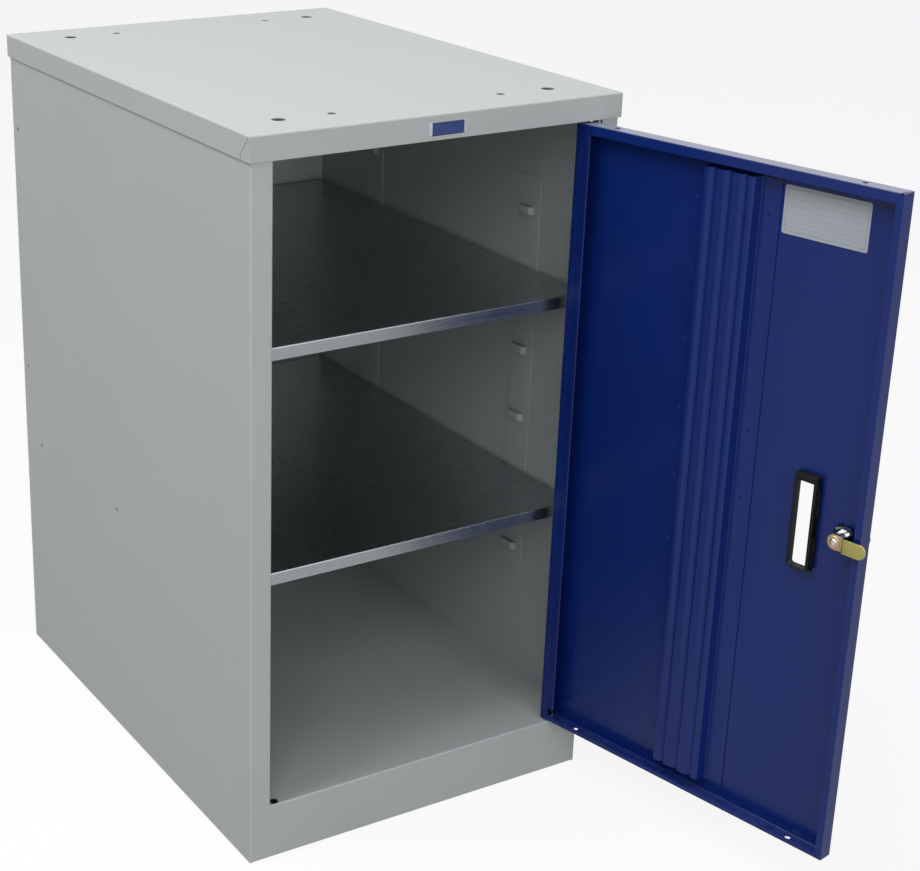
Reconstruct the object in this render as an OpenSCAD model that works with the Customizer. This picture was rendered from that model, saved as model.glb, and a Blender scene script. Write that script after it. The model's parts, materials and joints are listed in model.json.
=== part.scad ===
// Folded-steel under-bench cabinet: one hinged door with a grip slot and a cam lock, two lift-out shelves.
// Millimetres, +Z up, front towards -Y, origin on the floor below the middle of the top cap.
// The door is drawn open; its own modules are drawn flat in door coordinates and then swung into place.

/* [Cabinet] */
// Width over the top cap
cap_w = 435; // [400:5:520]
// Depth over the top cap
cap_d = 600; // [580:5:700]
// Height from the floor to the top face
total_h = 790; // [780:5:900]
// Thickness of every folded sheet
sheet = 1; // [0.8:0.1:1.2]
// Outside radius of the folds
bend_r = 2; // [1.5:0.1:2.5]
// How far the cap stands out past the body on each side
cap_overhang = 2; // [1.5:0.5:4]
// Height of the cap's turned-down edge
cap_edge_h = 26; // [22:1:34]
// Width of the front posts
post_w = 24.5; // [22:0.5:30]
// Depth of the posts' inward fold
post_return = 22; // [14:1:22]
// Width of the side panels' rear flange
rear_flange_w = 15; // [10:1:25]
// Height of the plinth and of the floor
plinth_h = 64; // [60:1:90]
// Depth of the lip under the plinth
plinth_lip = 20; // [12:1:40]
// Depth of the front rail below the cap
rail_d = 38; // [26:1:60]

/* [Holes] */
// Left-right spacing of the large top holes
large_hole_dx = 318; // [280:1:330]
// Left-right spacing of the small top holes
small_hole_dx = 200; // [120:1:240]
// Distance of the front top holes from the cap's front
top_hole_y = 50; // [44:1:60]
// Distance of the rear top holes from the cap's rear
top_hole_back = 53; // [44:1:70]
// Diameter of the large top holes
large_hole_d = 14; // [10:0.5:16]
// Diameter of the small top holes
small_hole_d = 9; // [6:0.5:11]
// Diameter of the screw holes in the side panels
side_hole_d = 5; // [3:0.5:6]
// Distance of the rear side holes from the body's rear face
side_hole_back = 15; // [12:1:20]
// Height of the lower rear side hole
side_hole_z = 380; // [360:5:400]
// Height of the upper rear side hole above the lower one
side_hole_dz = 300; // [250:5:340]
// Distance of the rearmost low side hole from the body's rear face
low_hole_back = 49; // [40:1:60]
// Front-back spacing of the low side holes
low_hole_dy = 223; // [180:1:230]
// Height of the low side holes
low_hole_z = 286; // [270:1:300]

/* [Shelves] */
// Distance of the front strip from the body's front
strip_y = 121; // [100:1:160]
// Distance of the rear strip from the body's rear face
rear_strip_back = 102; // [60:1:150]
// Width of the strips
strip_w = 49; // [42:1:60]
// Bottom of the strips
strip_z = 185; // [150:1:200]
// Top of the lowest tab
first_tab_z = 226.5; // [220:0.5:240]
// Height from tab to tab
tab_pitch = 82; // [70:1:84]
// Number of tabs on each strip
tab_count = 6; // [6:1:6]
// Width of a tab
tab_w = 26; // [22:1:28]
// Height of a tab
tab_h = 9; // [6:1:12]
// How far a tab stands into the cabinet
tab_out = 6; // [5:0.5:8]
// How much of a strip is left above its top tab
strip_over = 35.5; // [20:0.5:40]
// Shelf height over its folded edge
shelf_h = 13.5; // [12:0.5:20]
// Gap between a shelf and the strip beside it
shelf_gap = 2; // [1:0.5:3]
// Distance of a shelf from the body's rear face
shelf_back = 8; // [5:0.5:30]
// Distance of a shelf from the body's front
shelf_y = 28; // [27:1:30]
// Width of the shelf's bottom fold
shelf_lip = 12; // [8:1:20]
// Tab that carries the lower shelf, counted from 0
lower_tab = 1; // [0:1:1]
// Tab that carries the upper shelf, counted from 0
upper_tab = 4; // [3:1:4]

/* [Door] */
// How far the door stands open
open_deg = 101.9; // [60:0.1:104]
// Gap between the door and the hinge-side post
gap_hinge = 1.5; // [1.3:0.1:2]
// Gap between the door and the lock-side post
gap_lock = 3.5; // [2:0.1:5]
// Gap below the door
gap_low = 2; // [1.8:0.1:3]
// Gap above the door
gap_top = 2.5; // [2.4:0.1:4]
// How far the closed door sits behind the posts' face
door_recess = 1; // [0:0.1:1.5]
// Thickness of the door
door_t = 17.5; // [17:0.1:18]
// Distance of the hinge axis from the hinge-side post
pin_in = 7.5; // [7.4:0.1:8]
// Distance of the hinge axis behind the posts' face
pin_back = 6.2; // [6:0.1:6.5]
// Width of the inner lip on the hinge side
lip_hinge = 18; // [14:0.5:22]
// Width of the inner lip at the top
lip_top = 10.5; // [8:0.5:14]
// Width of the inner lip on the free side
lip_free = 7.5; // [6:0.5:9]
// Width of the inner lip at the bottom
lip_low = 5; // [4:0.5:8]
// Diameter of the drain holes in the door's top and bottom
drain_d = 6; // [4:0.5:8]
// Distance of the drain holes from the door's side edges
drain_in = 45.5; // [40:0.5:60]

/* [Hinge pins] */
// Diameter of the hinge pins
pin_d = 6; // [5:0.1:6.5]
// Diameter of the collar on a hinge pin
collar_d = 9.5; // [8:0.1:10]
// Radial clearance between a pin and its bush
pin_play = 0.05; // [0.02:0.01:0.1]
// Wall of the bushes
bush_wall = 0.8; // [0.6:0.1:1]
// Diameter of a bush's flange
bush_flange_d = 9; // [8.8:0.1:11]
// Thickness of a bush's flange
bush_flange_t = 0.6; // [0.5:0.1:1]
// Length of a bush below its flange
bush_len = 6; // [4:0.5:10]
// How far a pin goes into the door
pin_in_door = 7; // [5:0.5:9]
// How far a pin reaches past the collar into the cabinet
pin_in_body = 12; // [8:0.5:14]

/* [Stiffener] */
// How far the stiffener sits from the door's middle, towards the hinge
stiff_off = 1.5; // [0:0.5:6]
// Width of the stiffener's side flanges
stiff_flange = 23; // [15:1:25]
// Width of the stiffener's hat
stiff_w = 62; // [58:1:64]
// Height of the stiffener's hat
stiff_h = 12.5; // [10:0.5:13]
// Bottom of the stiffener above the door's bottom
stiff_z = 16.5; // [12:0.5:30]
// Distance of the stiffener's top from the door's top
stiff_top = 16.5; // [12:0.5:30]
// Depth of its three grooves
groove_depth = 3; // [1:0.5:4]
// Distance from groove to groove
groove_pitch = 18.5; // [14:0.5:20]

/* [Grip slot] */
// Distance of the insert from the free edge
grip_in = 58.5; // [54:0.5:60]
// Width of the insert
grip_w = 25.5; // [24:0.5:30]
// Bottom of the insert above the door's bottom
grip_z = 298.5; // [280:1:310]
// Height of the insert
grip_h = 101.5; // [96:0.5:110]
// Width of the slot
slot_w = 20.8; // [16:0.1:21.5]
// Height of the slot
slot_h = 92; // [70:1:92]
// Distance of the slot from the insert's hinge-side face
slot_u = 1; // [1:0.1:2]
// How far the insert reaches behind the skin
grip_deep = 8; // [6:0.5:12]
// Rim of the insert on the outside of the door
grip_rim = 4; // [3:0.5:6]
// Thickness of that rim
grip_rim_t = 1.5; // [1:0.1:2.5]

/* [Lock] */
// Distance of the lock's axis from the free edge
lock_in = 26.5; // [25:0.5:32]
// Height of the lock's axis above the door's bottom
lock_z = 348; // [330:1:370]
// Diameter of the lock's threaded body
barrel_d = 18; // [16:0.5:19]
// Width of the body over its flats
barrel_flat = 15.5; // [14.5:0.1:15.8]
// Diameter of the lock's head
lock_head_d = 22; // [20:0.5:24]
// Thickness of the lock's head
lock_head_t = 3; // [2:0.1:4]
// Width of the lock nut across its flats
nut_af = 23; // [22:0.5:26]
// Thickness of the lock nut
nut_t = 5; // [4:0.5:6]
// Diameter of the turning plug
plug_d = 13; // [11:0.1:13.5]
// Reach of the cam from the lock's axis
cam_reach = 36; // [34:0.5:36]
// Width of the cam
cam_w = 15.5; // [12:0.5:16]
// Thickness of the cam
cam_t = 2; // [1.5:0.1:2]
// Step in the cam, towards the inside
cam_step = 3; // [2.5:0.1:3]
// Distance of the step from the lock's axis
cam_step_u = 10.5; // [9.5:0.5:12]
// Gap between the lips' plane and the cam
cam_gap = 1.5; // [1:0.1:1.8]
// Length of the folded key head from the axis
key_reach = 21; // [18:0.5:23]
// Width of the key head
key_w = 8; // [7:0.5:12]
// Thickness of the key head
key_t = 6; // [5:0.5:8]

/* [Plates] */
// Width of the blank name plate
plate_w = 45.5; // [40:0.5:60]
// Height of the blank name plate
plate_h = 13; // [10:0.5:16]
// Thickness of the name plate
plate_t = 1; // [0.6:0.1:2]
// Distance of the name plate from the middle, to the right
plate_x = 2.75; // [0:0.25:4]
// Width of the blank data label
label_w = 93.5; // [80:0.5:95]
// Height of the blank data label
label_h = 47.5; // [40:0.5:60]
// Distance of the label from the stiffener
label_gap = 2.7; // [2:0.1:6]
// Distance of the label's top below the door's top
label_top = 19.5; // [15:0.5:40]

/* [Hidden] */
$fn = 64;

light_grey = [0.70, 0.72, 0.71];
deep_blue = [0.13, 0.17, 0.42];
zinc = [0.62, 0.63, 0.62];
bright = [0.80, 0.80, 0.80];
yellow_zinc = [0.62, 0.55, 0.33];
black = [0.06, 0.06, 0.07];
white = [0.90, 0.90, 0.89];

through = 1;                                    // how far a cutter runs past a face
body_w = cap_w - 2 * cap_overhang;
body_d = cap_d - 2 * cap_overhang;
body_x = -body_w / 2;
body_y = -body_d / 2;
body_top = total_h - sheet;
rail_z = total_h - cap_edge_h;
post_drop = 5;                                  // the posts end just below the floor's front fold
post_z = plinth_h - post_drop;
opening_w = body_w - 2 * post_w;
relief_w = 0.9;                                 // slots where the posts meet the plinth
relief_in = 3;
relief_up = 0.5;
relief_down = 0.5;
notch_w = 4;                                    // clearance notch at the top of the hinge-side post
notch_h = 6;
seam_w = 0.9;                                   // open seams in the cap's side edges
seam_run = 17.6;
seam_end = 6;
tray_rear_h = 25;
back_fold = 12;
strip_top = first_tab_z + (tab_count - 1) * tab_pitch + strip_over;
tab_y = 10.5;                                   // distance of a tab from its strip's front edge
tab_run = 4;
shelf_w = body_w - 4 * sheet - 2 * shelf_gap;
shelf_d = body_d - shelf_y - shelf_back;
shelf_r = 1.5;

door_w = opening_w - gap_hinge - gap_lock;
door_z = plinth_h + gap_low;
door_h = rail_z - gap_top - door_z;
stiff_u = door_w / 2 - stiff_off - stiff_w / 2 - stiff_flange;
grip_u = door_w - grip_in - grip_w;
lock_u = door_w - lock_in;
hinge_x = body_x + body_w - post_w - pin_in;    // hinge axis
hinge_y = body_y + pin_back;
spare_x = -hinge_x;
pin_u = pin_in - gap_hinge;                     // the same axis in door coordinates
pin_n = door_t + door_recess - pin_back;
pin_fit = 0.02;                                 // the pins are fixed in the door
pin_hole_d = pin_d + 2 * pin_fit;
skin_n = door_t - sheet;                        // inner face of the door's skin
notch_u = 10.5;
notch_z = 6.5;
notch_size = 9;
gusset_w = 3;
stiff_lean = 2;                                 // slope of the hat's two sides
grip_corner = 6;
grip_wall_gap = 0.2;
grip_chamfer = 6;
grip_rib_t = 1.3;                               // two clip ribs on the insert's side, behind the skin
grip_rib_deep = 3.5;
grip_rib_len = 29.5;
grip_rib_low = 7;
grip_rib_pitch = 51.5;
slot_chamfer = 1.2;
slot_drop = 2.75;                               // the slot sits below the insert's middle
cam_n = -cam_gap;
cam_step_run = 1.2;
head_n = door_t + lock_head_t;
tenon = 7;
screw_d = 5;
screw_head_d = 9;
screw_head_t = 2.5;
screw_in_plug = 9;
keyway_w = 2.2;
keyway_h = 8;
keyway_deep = 16;
key_gap = 0.8;
key_tail = 8;
key_edge = 1;
key_side_play = 0.3;
key_face_play = 0.2;
plate_drop = 2;                                 // the plate sits below the edge's middle
rim_w = 1.5;
rim_t = 0.4;
label_t = 0.2;
label_r = 2.5;
collar_gap = 0.1;

// ---------- sections of folded sheet ----------

// Quarter of a fold, in the first quadrant about its centre
module fold(r) {
    intersection() {
        difference() {
            circle(r = r);
            circle(r = r - sheet);
        }
        square(r);
    }
}

// Filled box section, with the two corners away from the origin side rounded
module pan_section(w, depth, r) {
    square([w, depth - r]);
    translate([r, 0]) square([w - 2 * r, depth]);
    translate([r, depth - r]) circle(r = r);
    translate([w - r, depth - r]) circle(r = r);
}

// Rounded rectangle
module plate_section(w, h, r) {
    translate([r, 0]) square([w - 2 * r, h]);
    translate([0, r]) square([w, h - 2 * r]);
    for (x = [r, w - r], y = [r, h - r])
        translate([x, y]) circle(r = r);
}

// Block w by d by h whose two top edges in X and two in Y are rounded
module capped_block(w, d, h, r) {
    intersection() {
        translate([0, d, 0]) rotate([90, 0, 0]) linear_extrude(d) pan_section(w, h, r);
        rotate([90, 0, 90]) linear_extrude(w) pan_section(d, h, r);
    }
}

// ---------- carcass ----------

module rear_fold_section() {
    translate([bend_r, body_d - bend_r]) rotate(90) fold(bend_r);
    translate([bend_r, body_d - sheet]) square([rear_flange_w - bend_r, sheet]);
}

module post_section() {
    translate([bend_r, bend_r]) rotate(180) fold(bend_r);
    translate([bend_r, 0]) square([post_w - 2 * bend_r, sheet]);
    translate([post_w - bend_r, bend_r]) rotate(270) fold(bend_r);
    translate([post_w - sheet, bend_r]) square([sheet, post_return - bend_r]);
}

module side_holes() {
    for (z = [side_hole_z, side_hole_z + side_hole_dz])
        translate([-through, body_d - side_hole_back, z]) rotate([0, 90, 0])
            cylinder(d = side_hole_d, h = sheet + 2 * through);
    for (y = [low_hole_back, low_hole_back + low_hole_dy])
        translate([-through, body_d - y, low_hole_z]) rotate([0, 90, 0])
            cylinder(d = side_hole_d, h = sheet + 2 * through);
}

// Side panel with its outer face at x = 0 and its front at y = 0
module side_panel(has_notch) {
    difference() {
        union() {
            translate([0, 0, post_z]) linear_extrude(body_top - post_z) {
                translate([0, bend_r]) square([sheet, body_d - 2 * bend_r]);
                post_section();
                rear_fold_section();
            }
            linear_extrude(post_z) {
                translate([0, bend_r]) square([sheet, body_d - 2 * bend_r]);
                translate([bend_r, bend_r]) rotate(180) fold(bend_r);
                rear_fold_section();
            }
        }
        translate([sheet, bend_r, 0]) cube([post_w, post_return + through, plinth_h]);
        translate([post_w - relief_in - relief_w, -through, 0])
            cube([relief_in + relief_w + through, bend_r + through, plinth_h + relief_up]);
        if (has_notch)
            translate([post_w - notch_w, -through, rail_z - notch_h])
                cube([notch_w + through, sheet + through, notch_h]);
        side_holes();
    }
}

module left_side_panel() {
    color(light_grey) translate([body_x, body_y, 0]) side_panel(false);
}

module right_side_panel() {
    color(light_grey) mirror([1, 0, 0]) translate([body_x, body_y, 0]) side_panel(true);
}

module back_panel() {
    inner_w = body_w - 2 * bend_r;
    color(light_grey) translate([-inner_w / 2, body_y + body_d - 2 * sheet, 0])
        rotate([90, 0, 90]) linear_extrude(inner_w) {
            square([sheet, body_top - bend_r]);
            translate([sheet - bend_r, body_top - bend_r]) fold(bend_r);
            translate([sheet - back_fold, body_top - sheet]) square([back_fold - bend_r, sheet]);
        }
}

// Plinth, floor and rear edge in one folded sheet, as a section in Y and Z
module tray_section() {
    tray_d = body_d - 2 * sheet;
    translate([bend_r, bend_r]) rotate(180) fold(bend_r);
    translate([bend_r, 0]) square([plinth_lip - bend_r, sheet]);
    translate([0, bend_r]) square([sheet, plinth_h - 2 * bend_r]);
    translate([bend_r, plinth_h - bend_r]) rotate(90) fold(bend_r);
    translate([bend_r, plinth_h - sheet]) square([tray_d - 2 * bend_r, sheet]);
    translate([tray_d - bend_r, plinth_h - bend_r]) fold(bend_r);
    translate([tray_d - sheet, plinth_h - tray_rear_h]) square([sheet, tray_rear_h - bend_r]);
}

module base_tray() {
    inner_w = body_w - 2 * sheet;
    color(light_grey) difference() {
        translate([-inner_w / 2, body_y, 0]) rotate([90, 0, 90]) linear_extrude(inner_w) tray_section();
        for (side = [0, 1]) mirror([side, 0, 0]) translate([body_x, body_y, 0]) {
            translate([0, -through, -through]) cube([bend_r, bend_r + through, plinth_h]);
            translate([0, -through, post_z]) cube([post_w - relief_in, bend_r + through, plinth_h]);
            translate([post_w - relief_in - relief_w, -through, post_z - relief_down])
                cube([relief_w, bend_r + through, plinth_h]);
        }
        for (x = [hinge_x, spare_x])
            translate([x, hinge_y, plinth_h - sheet - through])
                cylinder(r = bush_r(), h = sheet + 2 * through);
    }
}

// Seam from the folded corner down to the lower edge, through the cap's side edge
module cap_seam() {
    low_z = rail_z + seam_end;
    translate([-through, 0, 0]) rotate([90, 0, 90]) linear_extrude(2 * through + sheet)
        polygon([[bend_r, total_h - bend_r], [seam_run, low_z], [seam_run, rail_z - through],
            [seam_run + seam_w, rail_z - through], [seam_run + seam_w, low_z],
            [bend_r + seam_w, total_h - bend_r]]);
}

module top_cap() {
    inner_r = bend_r - sheet;
    color(light_grey) difference() {
        translate([-cap_w / 2, -cap_d / 2, rail_z]) capped_block(cap_w, cap_d, cap_edge_h, bend_r);
        translate([sheet - cap_w / 2, sheet - cap_d / 2, rail_z - through])
            capped_block(cap_w - 2 * sheet, cap_d - 2 * sheet, cap_edge_h + through - sheet, inner_r);
        for (y = [top_hole_y, cap_d - top_hole_back]) translate([0, y - cap_d / 2, rail_z]) {
            for (x = [-large_hole_dx / 2, large_hole_dx / 2])
                translate([x, 0, 0]) cylinder(d = large_hole_d, h = cap_edge_h + through);
            for (x = [-small_hole_dx / 2, small_hole_dx / 2])
                translate([x, 0, 0]) cylinder(d = small_hole_d, h = cap_edge_h + through);
        }
        for (side = [0, 1], back = [0, 1])
            mirror([side, 0, 0]) mirror([0, back, 0]) translate([-cap_w / 2, -cap_d / 2, 0]) cap_seam();
    }
}

module front_rail() {
    color(light_grey) difference() {
        translate([-opening_w / 2, body_y, rail_z]) rotate([90, 0, 90]) linear_extrude(opening_w) {
            translate([0, bend_r]) square([sheet, cap_edge_h - sheet - bend_r]);
            translate([bend_r, bend_r]) rotate(180) fold(bend_r);
            translate([bend_r, 0]) square([rail_d - 2 * bend_r, sheet]);
            translate([rail_d - bend_r, bend_r]) rotate(270) fold(bend_r);
            translate([rail_d - sheet, bend_r]) square([sheet, cap_edge_h - sheet - bend_r]);
        }
        for (x = [hinge_x, spare_x])
            translate([x, hinge_y, rail_z - through]) cylinder(r = bush_r(), h = sheet + 2 * through);
    }
}

// One strip for the left wall: its back at x = 0, its front edge at y = 0
module shelf_strip() {
    difference() {
        translate([0, 0, strip_z]) cube([sheet, strip_w, strip_top - strip_z]);
        for (i = [0 : tab_count - 1])
            translate([-through, tab_y, first_tab_z + i * tab_pitch - tab_h])
                cube([sheet + 2 * through, tab_w, tab_h]);
    }
    for (i = [0 : tab_count - 1])
        translate([0, tab_y, first_tab_z + i * tab_pitch - tab_h]) linear_extrude(tab_h)
            polygon([[0, 0], [sheet, 0], [tab_out, tab_run], [tab_out, tab_w - tab_run], [sheet, tab_w],
                [0, tab_w], [tab_out - sheet, tab_w - tab_run - sheet], [tab_out - sheet, tab_run + sheet]]);
}

module left_strip(y) {
    color(light_grey) translate([body_x + sheet, body_y + y, 0]) shelf_strip();
}

module front_left_strip() {
    left_strip(strip_y);
}

module rear_left_strip() {
    left_strip(body_d - rear_strip_back - strip_w);
}

module front_right_strip() {
    mirror([1, 0, 0]) left_strip(strip_y);
}

module rear_right_strip() {
    mirror([1, 0, 0]) left_strip(body_d - rear_strip_back - strip_w);
}

module name_plate() {
    color(deep_blue) translate([plate_x, -cap_d / 2, total_h - (cap_edge_h + plate_h) / 2 - plate_drop])
        rotate([90, 0, 0]) difference() {
            translate([-plate_w / 2, 0, 0]) linear_extrude(plate_t) plate_section(plate_w, plate_h, bend_r);
            translate([rim_w - plate_w / 2, rim_w, plate_t - rim_t]) linear_extrude(rim_t + through)
                plate_section(plate_w - 2 * rim_w, plate_h - 2 * rim_w, bend_r - sheet);
        }
}

// ---------- hinge ----------

function bush_r() = pin_d / 2 + pin_play + bush_wall;

// Bush with its flange's outer face at z = 0 and its body going down
module bush() {
    color(black) difference() {
        union() {
            translate([0, 0, -bush_flange_t]) cylinder(d = bush_flange_d, h = bush_flange_t);
            translate([0, 0, -bush_flange_t - bush_len]) cylinder(r = bush_r(), h = bush_len + through / 2);
        }
        translate([0, 0, -bush_flange_t - bush_len - through])
            cylinder(d = pin_d + 2 * pin_play, h = bush_flange_t + bush_len + 2 * through);
    }
}

module lower_bush_at(x) {
    translate([x, hinge_y, plinth_h + bush_flange_t]) bush();
}

module upper_bush_at(x) {
    translate([x, hinge_y, rail_z - bush_flange_t]) mirror([0, 0, 1]) bush();
}

module lower_hinge_bush() {
    lower_bush_at(hinge_x);
}

module lower_spare_bush() {
    lower_bush_at(spare_x);
}

module upper_hinge_bush() {
    upper_bush_at(hinge_x);
}

module upper_spare_bush() {
    upper_bush_at(spare_x);
}

// Pin whose collar starts at z = 0 against the door and goes down by collar_h
module hinge_pin(collar_h) {
    color(bright) {
        translate([0, 0, -collar_h - pin_in_body]) cylinder(d = pin_d, h = collar_h + pin_in_body + pin_in_door);
        translate([0, 0, -collar_h]) cylinder(d = collar_d, h = collar_h);
    }
}

module lower_hinge_pin() {
    translate([hinge_x, hinge_y, door_z]) hinge_pin(gap_low - bush_flange_t - collar_gap);
}

module upper_hinge_pin() {
    translate([hinge_x, hinge_y, door_z + door_h]) mirror([0, 0, 1])
        hinge_pin(gap_top - bush_flange_t - collar_gap);
}

// ---------- shelves ----------

// Folded shelf with its underside at z = 0
module shelf() {
    inner_r = shelf_r - sheet;
    color(zinc) translate([-shelf_w / 2, body_y + shelf_y, 0]) {
        difference() {
            capped_block(shelf_w, shelf_d, shelf_h, shelf_r);
            translate([sheet, sheet, -through])
                capped_block(shelf_w - 2 * sheet, shelf_d - 2 * sheet, shelf_h + through - sheet, inner_r);
        }
        for (x = [sheet, shelf_w - shelf_lip]) translate([x, sheet, 0])
            cube([shelf_lip - sheet, shelf_d - 2 * sheet, sheet]);
        translate([shelf_lip, sheet, 0]) cube([shelf_w - 2 * shelf_lip, shelf_lip - sheet, sheet]);
    }
}

module upper_shelf() {
    translate([0, 0, first_tab_z + upper_tab * tab_pitch]) shelf();
}

module lower_shelf() {
    translate([0, 0, first_tab_z + lower_tab * tab_pitch]) shelf();
}

// ---------- door ----------
// Door coordinates: x from the hinge edge to the free edge, y from the inner lips (0) to the outer
// skin (door_t), z up from the door's bottom edge.

module on_door() {
    translate([hinge_x, hinge_y, door_z]) rotate([0, 0, open_deg + 180])
        translate([-pin_u, -pin_n, 0]) children();
}

module on_lock() {
    on_door() translate([lock_u, 0, lock_z]) children();
}

// Cylinder along the door's thickness, from depth n0 to n1
module across(d, n0, n1) {
    translate([0, n1, 0]) rotate([90, 0, 0]) cylinder(d = d, h = n1 - n0);
}

// Block with rounded outer edges whose outer skin is at y = depth
module door_block(w, depth, h, r) {
    intersection() {
        linear_extrude(h) pan_section(w, depth, r);
        rotate([90, 0, 90]) linear_extrude(w) translate([0, h]) rotate(-90) pan_section(h, depth, r);
    }
}

module door_panel() {
    color(deep_blue) on_door() difference() {
        door_shell();
        translate([lip_hinge, -through, lip_low])
            cube([door_w - lip_hinge - lip_free, 2 * through + sheet, door_h - lip_low - lip_top]);
        // pin and drain holes through the top and bottom folds
        translate([pin_u, pin_n, -through]) cylinder(d = pin_hole_d, h = door_h + 2 * through);
        for (u = [drain_in, door_w - drain_in])
            translate([u, door_t / 2, -through]) cylinder(d = drain_d, h = door_h + 2 * through);
        // open corners of the folded lips
        translate([notch_u, -through, notch_z]) cube([notch_size, through + sheet, notch_size]);
        translate([0, 0, door_h - sheet - through]) linear_extrude(sheet + 2 * through)
            polygon([[door_w - sheet - gusset_w, -through], [door_w - sheet, -through],
                [door_w - sheet, door_t - bend_r]]);
        // grip slot and lock
        translate([grip_u - grip_wall_gap, skin_n - through, grip_z - grip_wall_gap])
            cube([grip_w + 2 * grip_wall_gap, sheet + 2 * through, grip_h + 2 * grip_wall_gap]);
        translate([lock_u, 0, lock_z]) barrel_form(grip_wall_gap, skin_n - through, door_t + through);
    }
}

module door_shell() {
    difference() {
        door_block(door_w, door_t, door_h, bend_r);
        translate([sheet, sheet, sheet])
            door_block(door_w - 2 * sheet, door_t - 2 * sheet, door_h - 2 * sheet, bend_r - sheet);
    }
}

// Hat profile with three grooves along its top
module stiffener_section() {
    top_n = skin_n - stiff_h;
    u0 = stiff_flange;
    u1 = stiff_flange + stiff_w;
    mid = stiff_flange + stiff_w / 2;
    grooves = [for (i = [-1 : 1]) each [[mid + i * groove_pitch - groove_depth, 0],
        [mid + i * groove_pitch, groove_depth], [mid + i * groove_pitch + groove_depth, 0]]];
    outer = concat([[0, skin_n - sheet], [u0, skin_n - sheet], [u0 + stiff_lean, top_n]],
        [for (p = grooves) [p[0], top_n + p[1]]],
        [[u1 - stiff_lean, top_n], [u1, skin_n - sheet], [u1 + stiff_flange, skin_n - sheet]]);
    inner = concat([[u1 + stiff_flange, skin_n], [u1 - sheet, skin_n], [u1 - stiff_lean - sheet, top_n + sheet]],
        [for (i = [len(grooves) - 1 : -1 : 0]) [grooves[i][0], top_n + sheet + grooves[i][1]]],
        [[u0 + stiff_lean + sheet, top_n + sheet], [u0 + sheet, skin_n], [0, skin_n]]);
    polygon(concat(outer, inner));
}

module door_stiffener() {
    color(deep_blue) on_door() translate([stiff_u, 0, stiff_z])
        linear_extrude(door_h - stiff_z - stiff_top) stiffener_section();
}

// Upright plate in the door's plane, from depth n0 to n1
module upright(w, h, r, n0, n1) {
    translate([0, n1, 0]) rotate([90, 0, 0]) linear_extrude(n1 - n0) plate_section(w, h, r);
}

// Rectangle with its two lower corners cut off
module chamfered(w, h, left, right) {
    polygon([[left, 0], [w - right, 0], [w, right], [w, h], [0, h], [0, left]]);
}

module grip_insert() {
    slot_z = (grip_h - slot_h) / 2 - slot_drop;
    face_n = skin_n - grip_deep;
    color(black) on_door() translate([grip_u, 0, grip_z]) difference() {
        union() {
            translate([0, door_t, 0]) rotate([90, 0, 0]) linear_extrude(door_t - face_n)
                chamfered(grip_w, grip_h, grip_chamfer, grip_chamfer / 2);
            translate([-grip_rim, 0, -grip_rim])
                upright(grip_w + 2 * grip_rim, grip_h + 2 * grip_rim, grip_corner, door_t, door_t + grip_rim_t);
            for (i = [0 : 1])
                translate([grip_w - through, skin_n - grip_wall_gap - grip_rib_deep,
                    grip_rib_low + i * grip_rib_pitch])
                    cube([grip_rib_t + through, grip_rib_deep, grip_rib_len]);
        }
        translate([slot_u, door_t + grip_rim_t + through, slot_z]) rotate([90, 0, 0]) linear_extrude(2 * door_t)
            chamfered(slot_w, slot_h, slot_chamfer, slot_u);
    }
}

module data_label() {
    color(white) on_door()
        translate([stiff_u + 2 * stiff_flange + stiff_w + label_gap, 0, door_h - label_top - label_h])
            upright(label_w, label_h, label_r, skin_n - label_t, skin_n);
}

// ---------- lock ----------
// Drawn about the lock's axis, in door coordinates.

module barrel_form(grow, n0, n1) {
    intersection() {
        across(barrel_d + 2 * grow, n0, n1);
        translate([-barrel_flat / 2 - grow, n0, -barrel_d])
            cube([barrel_flat + 2 * grow, n1 - n0, 2 * barrel_d]);
    }
}

module lock_barrel() {
    color(bright) on_lock() difference() {
        union() {
            across(lock_head_d, door_t, head_n);
            barrel_form(0, 0, door_t);
        }
        across(plug_d + 2 * pin_play, -through, head_n + through);
    }
}

module lock_nut() {
    color(bright) on_lock() difference() {
        translate([0, skin_n, 0]) rotate([90, 0, 0])
            cylinder(d = nut_af / cos(30), h = nut_t, $fn = 6);
        across(barrel_d, skin_n - nut_t - through, skin_n + through);
    }
}

module lock_plug() {
    color(bright) on_lock() difference() {
        union() {
            across(plug_d, cam_n, head_n);
            translate([-tenon / 2, cam_n - cam_t, -tenon / 2]) cube([tenon, cam_t, tenon]);
        }
        across(screw_d, cam_n - cam_t - through, cam_n - cam_t + screw_in_plug);
        translate([-keyway_h / 2, head_n - keyway_deep + cam_t, -keyway_w / 2])
            cube([keyway_h, keyway_deep, keyway_w]);
    }
}

module lock_cam() {
    low_n = cam_n - cam_step;
    color(yellow_zinc) on_lock() difference() {
        intersection() {
            translate([0, 0, -cam_w]) linear_extrude(2 * cam_w)
                polygon([[-cam_w, cam_n], [cam_step_u, cam_n], [cam_step_u + cam_step_run, low_n],
                    [cam_reach, low_n], [cam_reach, low_n - cam_t], [cam_step_u, low_n - cam_t],
                    [cam_step_u - cam_step_run, cam_n - cam_t], [-cam_w, cam_n - cam_t]]);
            union() {
                across(cam_w, low_n - cam_t - through, cam_n + through);
                translate([0, low_n - cam_t - through, -cam_w / 2])
                    cube([cam_reach - cam_w / 2, cam_step + cam_t + 2 * through, cam_w]);
                translate([cam_reach - cam_w / 2, 0, 0]) across(cam_w, low_n - cam_t - through, cam_n + through);
            }
        }
        translate([-tenon / 2, cam_n - cam_t - through, -tenon / 2])
            cube([tenon, cam_t + 2 * through, tenon]);
    }
}

module cam_screw() {
    seat_n = cam_n - cam_t;
    color(bright) on_lock() {
        across(screw_head_d, seat_n - screw_head_t, seat_n);
        across(screw_d, seat_n - through / 2, seat_n + screw_in_plug - through);
    }
}

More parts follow.
